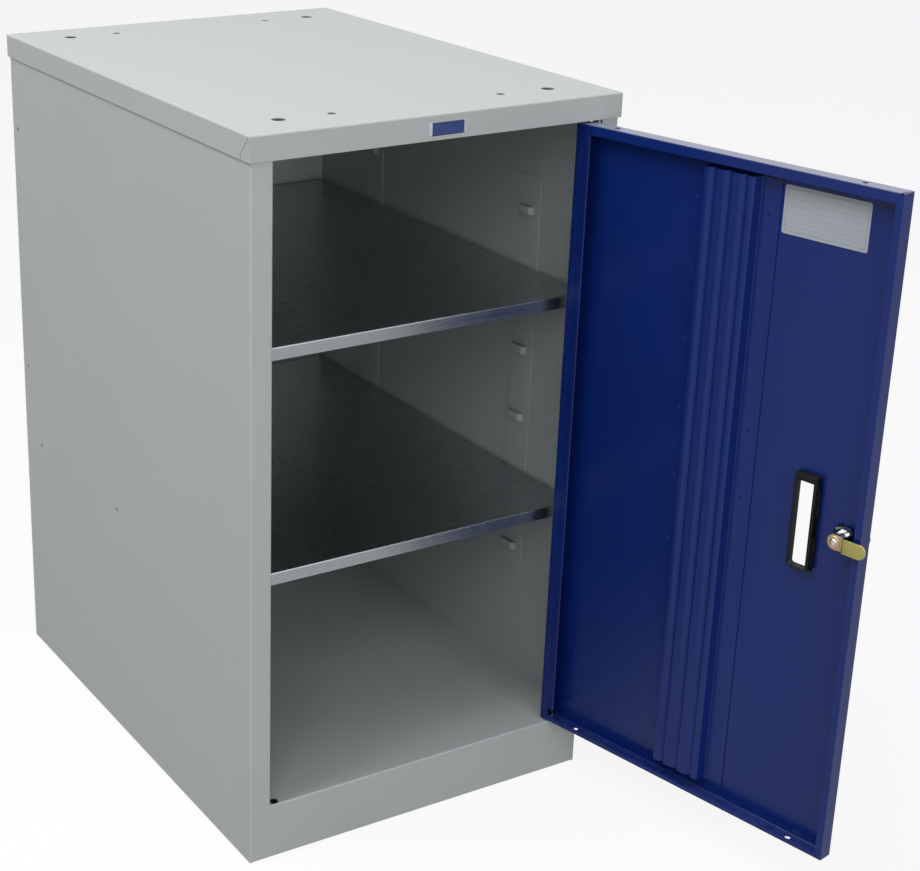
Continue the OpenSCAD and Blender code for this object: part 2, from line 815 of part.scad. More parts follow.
module lock_key() {
    head_z = head_n + key_gap;
    color(black) on_lock() {
        translate([-key_tail, 0, -key_w / 2])
            upright(key_tail + key_reach, key_w, key_w / 2 - key_edge, head_z, head_z + key_t);
        translate([key_side_play - keyway_h / 2, head_n - keyway_deep + cam_t + through,
            key_face_play - keyway_w / 2])
            cube([keyway_h - 2 * key_side_play, keyway_deep + key_gap, keyway_w - 2 * key_face_play]);
    }
}

left_side_panel();
right_side_panel();
back_panel();
base_tray();
top_cap();
front_rail();
front_left_strip();
front_right_strip();
rear_left_strip();
rear_right_strip();
lower_hinge_bush();
upper_hinge_bush();
lower_spare_bush();
upper_spare_bush();
name_plate();
upper_shelf();
lower_shelf();
door_panel();
door_stiffener();
grip_insert();
data_label();
lower_hinge_pin();
upper_hinge_pin();
lock_barrel();
lock_nut();
lock_plug();
lock_cam();
cam_screw();
lock_key();
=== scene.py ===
import json
import math

import bmesh
import bpy
from mathutils import Matrix, Vector


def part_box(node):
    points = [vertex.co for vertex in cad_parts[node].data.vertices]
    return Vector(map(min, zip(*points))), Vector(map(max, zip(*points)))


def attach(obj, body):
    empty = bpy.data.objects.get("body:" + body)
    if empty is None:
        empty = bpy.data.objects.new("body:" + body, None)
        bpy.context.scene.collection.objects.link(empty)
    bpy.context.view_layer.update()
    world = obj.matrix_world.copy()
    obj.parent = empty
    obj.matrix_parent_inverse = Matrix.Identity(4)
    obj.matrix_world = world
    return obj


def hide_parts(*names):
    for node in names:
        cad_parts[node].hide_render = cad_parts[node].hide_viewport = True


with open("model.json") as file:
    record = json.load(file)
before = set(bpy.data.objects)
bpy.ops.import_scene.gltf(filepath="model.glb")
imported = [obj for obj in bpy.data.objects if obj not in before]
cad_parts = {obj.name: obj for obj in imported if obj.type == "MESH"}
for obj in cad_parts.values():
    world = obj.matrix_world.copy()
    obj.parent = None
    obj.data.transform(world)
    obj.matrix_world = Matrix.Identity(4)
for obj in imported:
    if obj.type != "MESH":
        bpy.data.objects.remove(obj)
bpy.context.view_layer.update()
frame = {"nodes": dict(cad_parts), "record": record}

nodes = frame["nodes"]
MM = 0.001
MERGE_DIST, TINY_EDGE = 1e-6, 1e-7
SHARP_DEGREES = 40.0


# ---------- camera ----------

IMAGE_W, IMAGE_H = 920, 871
FOCAL_PX = 1888.027
CENTRE_PX = (294.232, 401.409)

camera_data = bpy.data.cameras.new("camera")
camera = bpy.data.objects.new("camera", camera_data)
bpy.context.scene.collection.objects.link(camera)
camera_data.sensor_fit = "HORIZONTAL"
camera_data.sensor_width = 36.0
camera_data.lens = FOCAL_PX * camera_data.sensor_width / IMAGE_W
camera_data.shift_x = (IMAGE_W / 2 - CENTRE_PX[0]) / IMAGE_W
camera_data.shift_y = (CENTRE_PX[1] - IMAGE_H / 2) / IMAGE_W
camera_data.clip_start, camera_data.clip_end = 0.05, 60.0
cam_right = Vector((0.86895285, -0.49482132, 0.00853295))
cam_down = Vector((-0.16959591, -0.31393578, -0.93417426))
cam_ahead = Vector((0.46492814, 0.81030623, -0.35671506))
place = Matrix((cam_right, -cam_down, -cam_ahead)).transposed().to_4x4()
place.translation = Vector((-1.02848, -1.80029, 1.18100))
camera.matrix_world = place
bpy.context.scene.camera = camera


# ---------- places on the door and its lock, in millimetres ----------

OPEN_TURN = math.radians(101.9 + 180.0)
HINGE_X, HINGE_Y, DOOR_Z = 183.5, -291.8, 66.0
PIN_U, PIN_N = 6.0, 12.3
LOCK_U, LOCK_W = 350.5, 348.0
plate_low, plate_high = (tuple(value / MM for value in corner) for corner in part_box("name_plate"))
PLATE_X, PLATE_Z = (plate_low[0] + plate_high[0]) / 2, (plate_low[2] + plate_high[2]) / 2
PLATE_W, PLATE_H = plate_high[0] - plate_low[0], plate_high[2] - plate_low[2]
SLOPE_L, SLOPE_R = 3.4, 4.4


def on_door(u, n, w):
    """u from the hinge edge, n from the inner lips to the skin, w up from the door's bottom."""
    du, dn = u - PIN_U, n - PIN_N
    return MM * Vector((HINGE_X + du * math.cos(OPEN_TURN) - dn * math.sin(OPEN_TURN),
                        HINGE_Y + du * math.sin(OPEN_TURN) + dn * math.cos(OPEN_TURN), DOOR_Z + w))


def on_lock(u, n, w):
    return on_door(LOCK_U + u, n, LOCK_W + w)


# ---------- node helpers ----------

class Tree:
    """Adds and links nodes in one node tree."""

    def __init__(self, tree):
        self.tree = tree

    def add(self, kind, inputs=None, **settings):
        node = self.tree.nodes.new(kind)
        for key, value in settings.items():
            setattr(node, key, value)
        for key, value in (inputs or {}).items():
            if isinstance(value, bpy.types.NodeSocket):
                self.tree.links.new(value, node.inputs[key])
            else:
                node.inputs[key].default_value = value
        return node

    def math(self, operation, a, b=None, clamp=False):
        node = self.add("ShaderNodeMath", {0: a} if b is None else {0: a, 1: b}, operation=operation)
        node.use_clamp = clamp
        return node.outputs[0]

    def span(self, value, low, high, out_low=0.0, out_high=1.0):
        return self.add("ShaderNodeMapRange", {"Value": value, "From Min": low, "From Max": high,
                                               "To Min": out_low, "To Max": out_high}).outputs[0]

    def mix(self, factor, a, b):
        node = self.add("ShaderNodeMix", {0: factor, 6: a, 7: b}, data_type="RGBA")
        return node.outputs[2]

    def noise(self, position, scale, detail=2.0, rough=0.5):
        return self.add("ShaderNodeTexNoise", {"Vector": position, "Scale": scale, "Detail": detail,
                                               "Roughness": rough}).outputs[0]


def new_group(name, inputs, outputs):
    tree = bpy.data.node_groups.new(name, "ShaderNodeTree")
    for label, kind, default in inputs:
        socket = tree.interface.new_socket(label, in_out="INPUT", socket_type=kind)
        if default is not None:
            socket.default_value = default
    for label, kind in outputs:
        tree.interface.new_socket(label, in_out="OUTPUT", socket_type=kind)
    t = Tree(tree)
    return t, t.add("NodeGroupInput").outputs, t.add("NodeGroupOutput").inputs


def place_group(t, name, **values):
    node = t.add("ShaderNodeGroup")
    node.node_tree = bpy.data.node_groups[name]
    for key, value in values.items():
        label = key.replace("_", " ")
        if isinstance(value, bpy.types.NodeSocket):
            t.tree.links.new(value, node.inputs[label])
        else:
            node.inputs[label].default_value = value
    return node.outputs


# ---------- shared effects ----------

FLOAT, VECTOR = "NodeSocketFloat", "NodeSocketVector"


def make_powder_group():
    """Orange peel, slow cloudy shade and fine specks of a powder coat."""
    t, given, out = new_group("powder coat", [("Position", VECTOR, None), ("Grain", FLOAT, 1100.0),
                                              ("Cloud", FLOAT, 7.0)],
                              [("Height", FLOAT), ("Cloud", FLOAT), ("Speck", FLOAT)])
    peel = t.noise(given["Position"], given["Grain"], 1.0, 0.45)
    t.tree.links.new(peel, out["Height"])
    t.tree.links.new(t.noise(given["Position"], given["Cloud"], 2.0, 0.55), out["Cloud"])
    t.tree.links.new(t.span(peel, 0.70, 0.82), out["Speck"])


def make_fold_group():
    """Mask of the rounded folds: where a face points along none of the sheet's own directions."""
    t, given, out = new_group("fold band", [("Turn", FLOAT, 0.0)], [("Mask", FLOAT)])
    turned = t.add("ShaderNodeVectorRotate", {"Vector": t.add("ShaderNodeTexCoord").outputs["Normal"],
                                              "Angle": given["Turn"]}, rotation_type="Z_AXIS")
    part = t.add("ShaderNodeSeparateXYZ", {0: turned.outputs[0]})
    sizes = [t.math("ABSOLUTE", part.outputs[i]) for i in range(3)]
    most = t.math("MAXIMUM", sizes[0], t.math("MAXIMUM", sizes[1], sizes[2]))
    t.tree.links.new(t.span(most, 0.995, 0.80), out["Mask"])


def make_edge_group():
    """Mask of the narrow band along the edges of small parts, and their softened normal."""
    t, given, out = new_group("edge band", [("Radius", FLOAT, 0.0005), ("Broken", FLOAT, 0.3)],
                              [("Mask", FLOAT), ("Normal", VECTOR)])
    rounded = t.add("ShaderNodeBevel", {"Radius": given["Radius"]}, samples=3)
    flat = t.add("ShaderNodeNewGeometry")
    close = t.add("ShaderNodeVectorMath", {0: rounded.outputs[0], 1: flat.outputs["True Normal"]},
                  operation="DOT_PRODUCT")
    patch = t.noise(t.add("ShaderNodeTexCoord").outputs["Object"], 260.0, 3.0)
    band = t.span(close.outputs["Value"], 0.995, 0.80)
    kept = t.span(t.math("SUBTRACT", patch, t.math("MULTIPLY", given["Broken"], 0.25)), 0.2, 0.42)
    t.tree.links.new(t.math("MULTIPLY", band, kept), out["Mask"])
    t.tree.links.new(rounded.outputs[0], out["Normal"])


def make_spangle_group():
    """Faint crystals of galvanised sheet, and the fine lines of its rolling along X."""
    t, given, out = new_group("zinc spangle", [("Position", VECTOR, None), ("Size", FLOAT, 90.0)],
                              [("Tone", FLOAT), ("Rough", FLOAT), ("Lines", FLOAT)])
    bent = t.add("ShaderNodeTexNoise", {"Vector": given["Position"], "Scale": 180.0, "Detail": 2.0})
    shifted = t.add("ShaderNodeVectorMath", {0: given["Position"], 1: t.add(
        "ShaderNodeVectorMath", {0: bent.outputs["Color"], "Scale": 0.004}, operation="SCALE").outputs[0]},
        operation="ADD")
    cells = t.add("ShaderNodeTexVoronoi", {"Vector": shifted.outputs[0], "Scale": given["Size"]})
    value = t.add("ShaderNodeSeparateColor", {0: cells.outputs["Color"]})
    t.tree.links.new(value.outputs[0], out["Tone"])
    t.tree.links.new(value.outputs[1], out["Rough"])
    drawn = t.add("ShaderNodeMapping", {"Vector": given["Position"], "Scale": (6.0, 700.0, 700.0)}).outputs[0]
    t.tree.links.new(t.noise(drawn, 1.0, 2.0), out["Lines"])


def make_dust_group():
    """Thin settled dust on faces that look up."""
    t, given, out = new_group("settled dust", [("Position", VECTOR, None), ("Amount", FLOAT, 0.06)],
                              [("Mask", FLOAT)])
    up = t.add("ShaderNodeSeparateXYZ", {0: t.add("ShaderNodeNewGeometry").outputs["Normal"]})
    cover = t.noise(given["Position"], 35.0, 3.0, 0.7)
    mask = t.math("MULTIPLY", t.span(up.outputs["Z"], 0.75, 1.0), t.span(cover, 0.35, 0.75))
    t.tree.links.new(t.math("MULTIPLY", mask, given["Amount"]), out["Mask"])


def make_scuff_group():
    """Sparse hairline scuffs in one slanted direction, in patches."""
    t, given, out = new_group("hairline scuffs", [("Position", VECTOR, None), ("Patch", FLOAT, 0.5),
                                                  ("Amount", FLOAT, 0.12)], [("Mask", FLOAT)])
    laid = t.add("ShaderNodeMapping", {"Vector": given["Position"], "Rotation": (0.3, 0.5, 0.2),
                                       "Scale": (40.0, 2200.0, 40.0)})
    line = t.span(t.noise(laid.outputs[0], 1.0, 0.0), 0.72, 0.80)
    both = t.math("MULTIPLY", line, t.span(given["Patch"], 0.55, 0.68))
    t.tree.links.new(t.math("MULTIPLY", both, given["Amount"]), out["Mask"])


def make_door_place_group():
    """Place on the door in millimetres: from the hinge edge, from the lips, and from the bottom."""
    t, given, out = new_group("door place", [("Position", VECTOR, None)],
                              [("U", FLOAT), ("N", FLOAT), ("W", FLOAT)])
    laid = t.add("ShaderNodeMapping", {"Vector": given["Position"], "Location": on_door(0.0, 0.0, 0.0),
                                       "Rotation": (0.0, 0.0, OPEN_TURN), "Scale": (MM, MM, MM)},
                 vector_type="TEXTURE")
    part = t.add("ShaderNodeSeparateXYZ", {0: laid.outputs[0]})
    for i, label in enumerate(("U", "N", "W")):
        t.tree.links.new(part.outputs[i], out[label])


def make_box_group():
    """Mask of a rectangle with soft borders, from two coordinates in millimetres."""
    t, given, out = new_group("ruled box", [("Across", FLOAT, 0.0), ("Up", FLOAT, 0.0), ("Left", FLOAT, 0.0),
                                            ("Right", FLOAT, 1.0), ("Low", FLOAT, 0.0), ("High", FLOAT, 1.0),
                                            ("Soft", FLOAT, 0.08)], [("Mask", FLOAT)])
    mask = None
    for here, low, high in (("Across", "Left", "Right"), ("Up", "Low", "High")):
        reach = t.math("MINIMUM", t.math("SUBTRACT", given[here], given[low]),
                       t.math("SUBTRACT", given[high], given[here]))
        side = t.math("DIVIDE", reach, given["Soft"], True)
        mask = side if mask is None else t.math("MULTIPLY", mask, side)
    t.tree.links.new(mask, out["Mask"])


for make in (make_powder_group, make_fold_group, make_edge_group, make_spangle_group, make_dust_group,
             make_scuff_group, make_door_place_group, make_box_group):
    make()


# ---------- materials ----------

# Colours that more than one material uses, and what is painted on the door's coat.
DUST, WORN_AND_HIGHLIGHT_METAL = (0.55, 0.54, 0.51, 1.0), (0.86, 0.86, 0.84, 1.0)
CLOUD_SIZE, SPECK_SHARE, FOLD_HIGHLIGHT_SHARE = 7.0, 0.10, 0.18
COAT_DUST, COAT_SCUFFS, ZINC_DUST = 0.06, 0.12, 0.02
# The lips' corner joints: start across and up, slope, and reach across, in millimetres.
LIP_JOINTS = ((2.0, 4.5, 0.80, 9.0), (2.0, 691.0, -0.55, 15.0), (375.2, 4.5, -0.8, -5.0))
JOINT_HALF, JOINT_SHARE, JOINT_COLOUR = 0.32, 0.75, (0.002, 0.003, 0.012, 1.0)
LIP_FACE_N, LIP_EDGE_N = 0.2, 1.3
# The painted highlight on the door's top edge: from and to up the door, share and colour.
TOP_HIGHLIGHT_LOW, TOP_HIGHLIGHT_HIGH, TOP_HIGHLIGHT_SHARE, TOP_HIGHLIGHT_COLOUR = 694.4, 695.3, 0.40, (0.50, 0.51, 0.60, 1.0)
# The painted highlights of the hinge lip, a lighter band and a bright line: left, right, share and colour; and their
# ends up the door.
LIP_HIGHLIGHTS = ((3.6, 7.6, 0.30, (0.016, 0.035, 0.23, 1.0)), (16.9, 18.1, 0.80, (0.085, 0.090, 0.25, 1.0)))
LIP_HIGHLIGHT_LOW, LIP_HIGHLIGHT_HIGH = 12.0, 684.0
# The cam's step from its axis, its half height, and the plate's borders, in millimetres.
CAM_STEP, CAM_HALF = 9.9, 9.0
PLATE_BORDER = 1.1
# The label's frame (left, right, low, high), the inset of its line, and the colour of its lines.
LABEL_FRAME = (246.7, 334.2, 631.5, 673.0)
LABEL_INNER = (247.1, 333.8, 631.9, 672.6)
LABEL_INK, INK_SHARE = (0.16, 0.175, 0.19, 1.0), 0.8
# Left, right, low and high of the label's plain rules, from the hinge edge and from the door's bottom.
LABEL_RULES = [(249.5, 272.0, 663.0, 663.3), (249.5, 272.0, 656.5, 656.8), (249.5, 272.0, 650.0, 650.3),
               (276.0, 331.0, 667.0, 667.3), (276.0, 331.0, 660.5, 660.8), (276.0, 331.0, 654.0, 654.3),
               (276.0, 331.0, 647.5, 647.8), (249.5, 331.0, 641.0, 641.3), (249.5, 331.0, 636.0, 636.3),
               (273.8, 274.1, 645.5, 671.0)]


def new_material(name):
    material = bpy.data.materials.new(name)
    material.use_nodes = True
    t = Tree(material.node_tree)
    shader = material.node_tree.nodes["Principled BSDF"]
    position = t.add("ShaderNodeTexCoord").outputs["Object"]
    return material, t, shader, position


def feed(t, shader, **sockets):
    for key, value in sockets.items():
        t.tree.links.new(value, shader.inputs[key.replace("_", " ")])


def paint(name, colour, cloud_colour, worn_and_highlight_colour, rough, grain, peel, turn=0.0):
    material, t, shader, position = new_material(name)
    coat = place_group(t, "powder coat", Position=position, Grain=grain, Cloud=CLOUD_SIZE)
    fold = place_group(t, "fold band", Turn=turn)
    dust = place_group(t, "settled dust", Position=position, Amount=COAT_DUST)
    scuff = place_group(t, "hairline scuffs", Position=position, Patch=coat["Cloud"],
                        Amount=COAT_SCUFFS)
    tone = t.mix(t.span(coat["Cloud"], 0.3, 0.7), colour, cloud_colour)
    tone = t.mix(t.math("MULTIPLY", coat["Speck"], SPECK_SHARE), tone, worn_and_highlight_colour)
    # The folds are lighter: partly a thinner coat, partly a painted highlight along the bends.
    tone = t.mix(t.math("MULTIPLY", fold["Mask"], FOLD_HIGHLIGHT_SHARE), tone, worn_and_highlight_colour)
    tone = t.mix(scuff["Mask"], tone, worn_and_highlight_colour)
    tone = t.mix(dust["Mask"], tone, DUST)
    roughness = t.math("ADD", t.span(coat["Cloud"], 0.25, 0.75, rough - 0.03, rough + 0.03),
                       t.math("MULTIPLY", dust["Mask"], 0.4))
    bump = t.add("ShaderNodeBump", {"Height": coat["Height"], "Strength": peel, "Distance": 0.0002})
    feed(t, shader, Base_Color=tone, Roughness=roughness, Normal=bump.outputs[0])
    return material, t, shader, position, tone


def door_paint():
    """Blue coat of the door. Painted on it: the dark joints of its lips' corners, a paler top edge, and a lighter
    band and a bright line along the hinge lip, which stand for reflections in the photograph.
    """
    material, t, shader, position, tone = paint(
        "deep_blue_powder", (0.0028, 0.0175, 0.145, 1.0), (0.0033, 0.0195, 0.156, 1.0), (0.016, 0.045, 0.25, 1.0),
        0.28, 1000.0, 0.22, -OPEN_TURN)
    shader.inputs["Specular IOR Level"].default_value = 0.35
    here = place_group(t, "door place", Position=position)
    joints = []
    for u0, w0, slope, reach in LIP_JOINTS:
        along = t.math("SUBTRACT", here["U"], u0)
        off = t.math("ABSOLUTE", t.math("SUBTRACT", t.math("SUBTRACT", here["W"], w0),
                                        t.math("MULTIPLY", along, slope)))
        ahead = t.math("GREATER_THAN", t.math("MULTIPLY", along, math.copysign(1.0, reach)), 0.0)
        inside = t.math("MULTIPLY", ahead, t.math("LESS_THAN", t.math("ABSOLUTE", along), abs(reach)))
        joints.append(t.math("MULTIPLY", t.math("LESS_THAN", off, JOINT_HALF), inside))
    joint = t.math("MAXIMUM", joints[0], t.math("MAXIMUM", joints[1], joints[2]))
    joint = t.math("MULTIPLY", joint, t.math("LESS_THAN", here["N"], LIP_FACE_N))
    # Painted highlight: the top edge is blended towards a pale colour.
    top_highlight = t.span(here["W"], TOP_HIGHLIGHT_LOW, TOP_HIGHLIGHT_HIGH)
    tone = t.mix(t.math("MULTIPLY", top_highlight, TOP_HIGHLIGHT_SHARE), tone, TOP_HIGHLIGHT_COLOUR)
    # Painted highlights along the hinge lip: a lighter band and a bright line.
    on_lip = t.math("LESS_THAN", here["N"], LIP_EDGE_N)
    for left, right, share, colour in LIP_HIGHLIGHTS:
        band = place_group(t, "ruled box", Across=here["U"], Up=here["W"], Left=left, Right=right, Low=LIP_HIGHLIGHT_LOW,
                           High=LIP_HIGHLIGHT_HIGH, Soft=0.5)
        tone = t.mix(t.math("MULTIPLY", t.math("MULTIPLY", band["Mask"], on_lip), share), tone, colour)
    feed(t, shader, Base_Color=t.mix(t.math("MULTIPLY", joint, JOINT_SHARE), tone, JOINT_COLOUR))
    return material


def galvanised():
    material, t, shader, position = new_material("galvanised_steel")
    zinc = place_group(t, "zinc spangle", Position=position, Size=90.0)
    dust = place_group(t, "settled dust", Position=position, Amount=ZINC_DUST)
    tone = t.mix(zinc["Tone"], (0.425, 0.468, 0.476, 1.0), (0.438, 0.480, 0.488, 1.0))
    tone = t.mix(t.math("MULTIPLY", t.span(zinc["Lines"], 0.35, 0.65), 0.10), tone, (0.50, 0.54, 0.55, 1.0))
    tone = t.mix(dust["Mask"], tone, (0.45, 0.44, 0.42, 1.0))
    rough = t.math("ADD", t.span(zinc["Rough"], 0.0, 1.0, 0.225, 0.245),
                   t.math("MULTIPLY", t.span(zinc["Lines"], 0.3, 0.7), 0.05))
    bump = t.add("ShaderNodeBump", {"Height": zinc["Lines"], "Strength": 0.025, "Distance": 0.0002})
    feed(t, shader, Base_Color=tone, Roughness=rough, Normal=bump.outputs[0])
    shader.inputs["Metallic"].default_value = 1.0
    return material


def plated(name, colour, other, rough, swirl=120.0):
    material, t, shader, position = new_material(name)
    edge = place_group(t, "edge band", Radius=0.0003, Broken=0.3)
    film = t.noise(position, swirl, 3.0)
    tone = t.mix(t.span(film, 0.35, 0.65), colour, other)
    # The edges are lighter: partly wear, partly a painted highlight.
    tone = t.mix(t.math("MULTIPLY", edge["Mask"], 0.4), tone, WORN_AND_HIGHLIGHT_METAL)
    scratch = t.noise(position, 1800.0)
    bump = t.add("ShaderNodeBump", {"Height": scratch, "Normal": edge["Normal"], "Strength": 0.08,
                                    "Distance": 0.0001})
    feed(t, shader, Base_Color=tone, Roughness=t.span(film, 0.3, 0.7, rough, rough + 0.08),
         Normal=bump.outputs[0])
    shader.inputs["Metallic"].default_value = 1.0
    return material, t, shader, position, tone


def lock_zinc():
    """Bright plating. On barrel and nut it is darkened in patches, which stand for the dark things that they
    mirror in the photograph, and not for tarnish.
    """
    material, t, shader, position, tone = plated("bright_zinc", (0.60, 0.60, 0.58, 1.0), (0.70, 0.70, 0.68, 1.0),
                                                 0.12)
    here = place_group(t, "door place", Position=position)
    patch = t.span(t.noise(position, 170.0), 0.50, 0.60)
    dark = t.mix(patch, (0.035, 0.040, 0.075, 1.0), (0.42, 0.43, 0.45, 1.0))
    feed(t, shader, Base_Color=t.mix(t.span(here["N"], -1.6, -0.9), tone, dark))
    return material


def cam_zinc():
    """Yellow passivated zinc: pinkish on the near half of the cam, greenish beyond its step, along which a dark line
    is painted shade.
    """
    material, t, shader, position, tone = plated("yellow_zinc", (0.66, 0.43, 0.25, 1.0), (0.60, 0.46, 0.28, 1.0),
                                                 0.26, 90.0)
    here = place_group(t, "door place", Position=position)
    green = t.mix(t.span(t.noise(position, 110.0), 0.35, 0.65), (0.42, 0.48, 0.15, 1.0), (0.56, 0.45, 0.16, 1.0))
    tone = t.mix(t.span(here["U"], LOCK_U + 9.8, LOCK_U + 11.4), tone, green)
    # Painted shade: a dark line along the cam's step.
    step = place_group(t, "ruled box", Across=here["U"], Up=here["W"], Left=LOCK_U + CAM_STEP,
                       Right=LOCK_U + CAM_STEP + 1.7, Low=LOCK_W - CAM_HALF, High=LOCK_W + CAM_HALF, Soft=0.4)
    feed(t, shader, Base_Color=t.mix(t.math("MULTIPLY", step["Mask"], 0.75), tone, (0.09, 0.06, 0.025, 1.0)))
    return material


def plastic(name, colour, other, rough, grain=1500.0, depth=0.15):
    material, t, shader, position = new_material(name)
    edge = place_group(t, "edge band", Radius=0.0005, Broken=0.3)
    skin = t.noise(position, grain)
    tone = t.mix(t.span(t.noise(position, 60.0), 0.3, 0.7), colour, other)
    edge_wear_and_highlight = tuple(min(1.0, 2.2 * c + 0.008) for c in colour[:3]) + (1.0,)
    # The edges are lighter: partly wear, partly a painted highlight.
    tone = t.mix(t.math("MULTIPLY", edge["Mask"], 0.25), tone, edge_wear_and_highlight)
    bump = t.add("ShaderNodeBump", {"Height": skin, "Normal": edge["Normal"], "Strength": depth,
                                    "Distance": 0.0001})
    feed(t, shader, Base_Color=tone, Roughness=t.span(skin, 0.3, 0.7, rough - 0.05, rough + 0.05),
         Normal=bump.outputs[0])
    return material, t, shader, position, tone


def black_plastic():
    material, _, shader, _, _ = plastic("black_plastic", (0.0035, 0.0035, 0.0040, 1.0),
                                        (0.0055, 0.0055, 0.0060, 1.0), 0.50)
    shader.inputs["Specular IOR Level"].default_value = 0.25
    return material


def badge_plastic():
    """Blue face of the bare name plate, with pale sloping ends and thin dark borders above and below."""
    material, t, shader, position, tone = plastic("blue_plate", (0.034, 0.062, 0.22, 1.0), (0.048, 0.080, 0.24, 1.0),
                                                  0.25, 600.0, 0.03)
    part = t.add("ShaderNodeSeparateXYZ", {0: position})
    across, up = (t.math("DIVIDE", part.outputs[axis], MM) for axis in ("X", "Z"))
    face = place_group(t, "ruled box", Across=across, Up=up, Left=PLATE_X - PLATE_W / 2 + SLOPE_L,
                       Right=PLATE_X + PLATE_W / 2 - SLOPE_R, Low=PLATE_Z - PLATE_H, High=PLATE_Z + PLATE_H,
                       Soft=0.25)
    inner = place_group(t, "ruled box", Across=across, Up=up, Left=PLATE_X - PLATE_W, Right=PLATE_X + PLATE_W,
                        Low=PLATE_Z - PLATE_H / 2 + PLATE_BORDER, High=PLATE_Z + PLATE_H / 2 - PLATE_BORDER, Soft=0.3)
    tone = t.mix(inner["Mask"], (0.012, 0.022, 0.12, 1.0), tone)
    feed(t, shader, Base_Color=t.mix(face["Mask"], (0.56, 0.60, 0.66, 1.0), tone))
    return material


def label_film():
    """Pale film of the bare label, with a plain frame and plain rules."""
    material, t, shader, position = new_material("white_label")
    here = place_group(t, "door place", Position=position)
    skin = t.noise(position, 400.0)
    tone = t.mix(t.span(t.noise(position, 40.0), 0.3, 0.7), (0.385, 0.420, 0.455, 1.0), (0.405, 0.440, 0.475, 1.0))

    def boxed(left, right, low, high):
        return place_group(t, "ruled box", Across=here["U"], Up=here["W"], Left=left, Right=right, Low=low,
                           High=high)["Mask"]

    mark = t.math("SUBTRACT", boxed(*LABEL_FRAME), boxed(*LABEL_INNER))
    for rule in LABEL_RULES:
        mark = t.math("MAXIMUM", mark, boxed(*rule))
    tone = t.mix(t.math("MULTIPLY", mark, INK_SHARE), tone, LABEL_INK)
    bump = t.add("ShaderNodeBump", {"Height": skin, "Strength": 0.03, "Distance": 0.0001})
    feed(t, shader, Base_Color=tone, Roughness=t.span(skin, 0.3, 0.7, 0.30, 0.38), Normal=bump.outputs[0])
    return material


finishes = {
    "light_grey_powder": paint("light_grey_powder", (0.455, 0.491, 0.486, 1.0), (0.467, 0.503, 0.498, 1.0),
                               (0.57, 0.60, 0.59, 1.0), 0.46, 1100.0, 0.30)[0],
    "deep_blue_powder": door_paint(),
    "galvanised_steel": galvanised(),
    "bright_zinc": lock_zinc(),
    "yellow_zinc": cam_zinc(),
    "black_plastic": black_plastic(),
    "white_label": label_film(),
    "blue_plate": badge_plastic(),
}

slot_of = {row["node"]: row["material_slot"] for row in frame["record"]["subparts"]}
body_of = {name: body for body, names in frame["record"]["behaviour"]["bodies"].items() for name in names}
for name, node in nodes.items():
    node.data.materials.clear()
    node.data.materials.append(finishes[slot_of[name]])


# ---------- mesh helpers ----------

def soften(mesh, degrees):
    for polygon in mesh.polygons:
        polygon.use_smooth = True
    mesh.set_sharp_from_angle(angle=math.radians(degrees))


def add_piece(name, build, *replaced, slot=None, body=None, degrees=35.0):
    """A new piece, made by build(bmesh), which stands for the CAD nodes named."""
    mesh = bpy.data.meshes.new(name)
    bm = bmesh.new()
    build(bm)
    bmesh.ops.remove_doubles(bm, verts=bm.verts, dist=MERGE_DIST)
    bmesh.ops.dissolve_degenerate(bm, edges=bm.edges, dist=TINY_EDGE)
    bmesh.ops.recalc_face_normals(bm, faces=bm.faces)
    bm.to_mesh(mesh)
    bm.free()
    finish_piece(name, mesh, *replaced, slot=slot, body=body, degrees=degrees)


def finish_piece(name, mesh, *replaced, slot=None, body=None, degrees=35.0):
    soften(mesh, degrees)
    slot = slot or slot_of[replaced[0]]
    mesh.materials.clear()
    mesh.materials.append(finishes[slot])
    piece = bpy.data.objects.new(name, mesh)
    bpy.context.scene.collection.objects.link(piece)
    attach(piece, body or body_of[replaced[0]])
    if replaced:
        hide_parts(*replaced)


def evaluated_mesh(piece):
    """The piece's mesh with its modifiers applied; the piece itself is removed."""
    shown = piece.evaluated_get(bpy.context.evaluated_depsgraph_get())
    mesh = bpy.data.meshes.new_from_object(shown)
    old = piece.data
    bpy.data.objects.remove(piece)
    bpy.data.meshes.remove(old)
    return mesh


def eased(node_name, piece_name, width, segments=2):
    """The CAD node's own shape with its sharp edges rounded, by a width in millimetres."""
    mesh = nodes[node_name].data.copy()
    bm = bmesh.new()
    bm.from_mesh(mesh)
    bmesh.ops.remove_doubles(bm, verts=bm.verts, dist=MERGE_DIST)
    bmesh.ops.dissolve_limit(bm, angle_limit=math.radians(0.5), verts=bm.verts, edges=bm.edges)
    bm.to_mesh(mesh)
    bm.free()
    blank = bpy.data.objects.new(piece_name + "_blank", mesh)
    bpy.context.scene.collection.objects.link(blank)
    edge = blank.modifiers.new("eased", "BEVEL")
    edge.width = width * MM
    edge.segments = segments
    edge.limit_method = "ANGLE"
    edge.angle_limit = math.radians(SHARP_DEGREES)
    finish_piece(piece_name, evaluated_mesh(blank), node_name, degrees=30.0)


def spin(bm, profile, place, segments, shape=None):
    """Closed profile of (radius, depth) turned about the axis; shape(x, z, radius, depth) may move a point."""
    rings = []
    for radius, depth in profile:
        ring = []
        for k in range(segments):
            angle = 2.0 * math.pi * k / segments
            x, z, n = radius * math.cos(angle), radius * math.sin(angle), depth
            if shape:
                x, z, n = shape(x, z, radius, depth)
            ring.append(bm.verts.new(place(x, n, z)))
        rings.append(ring)
    for i, ring in enumerate(rings):
        other = rings[(i + 1) % len(rings)]
        for k in range(segments):
            k2 = (k + 1) % segments
            bm.faces.new((ring[k], ring[k2], other[k2], other[k]))


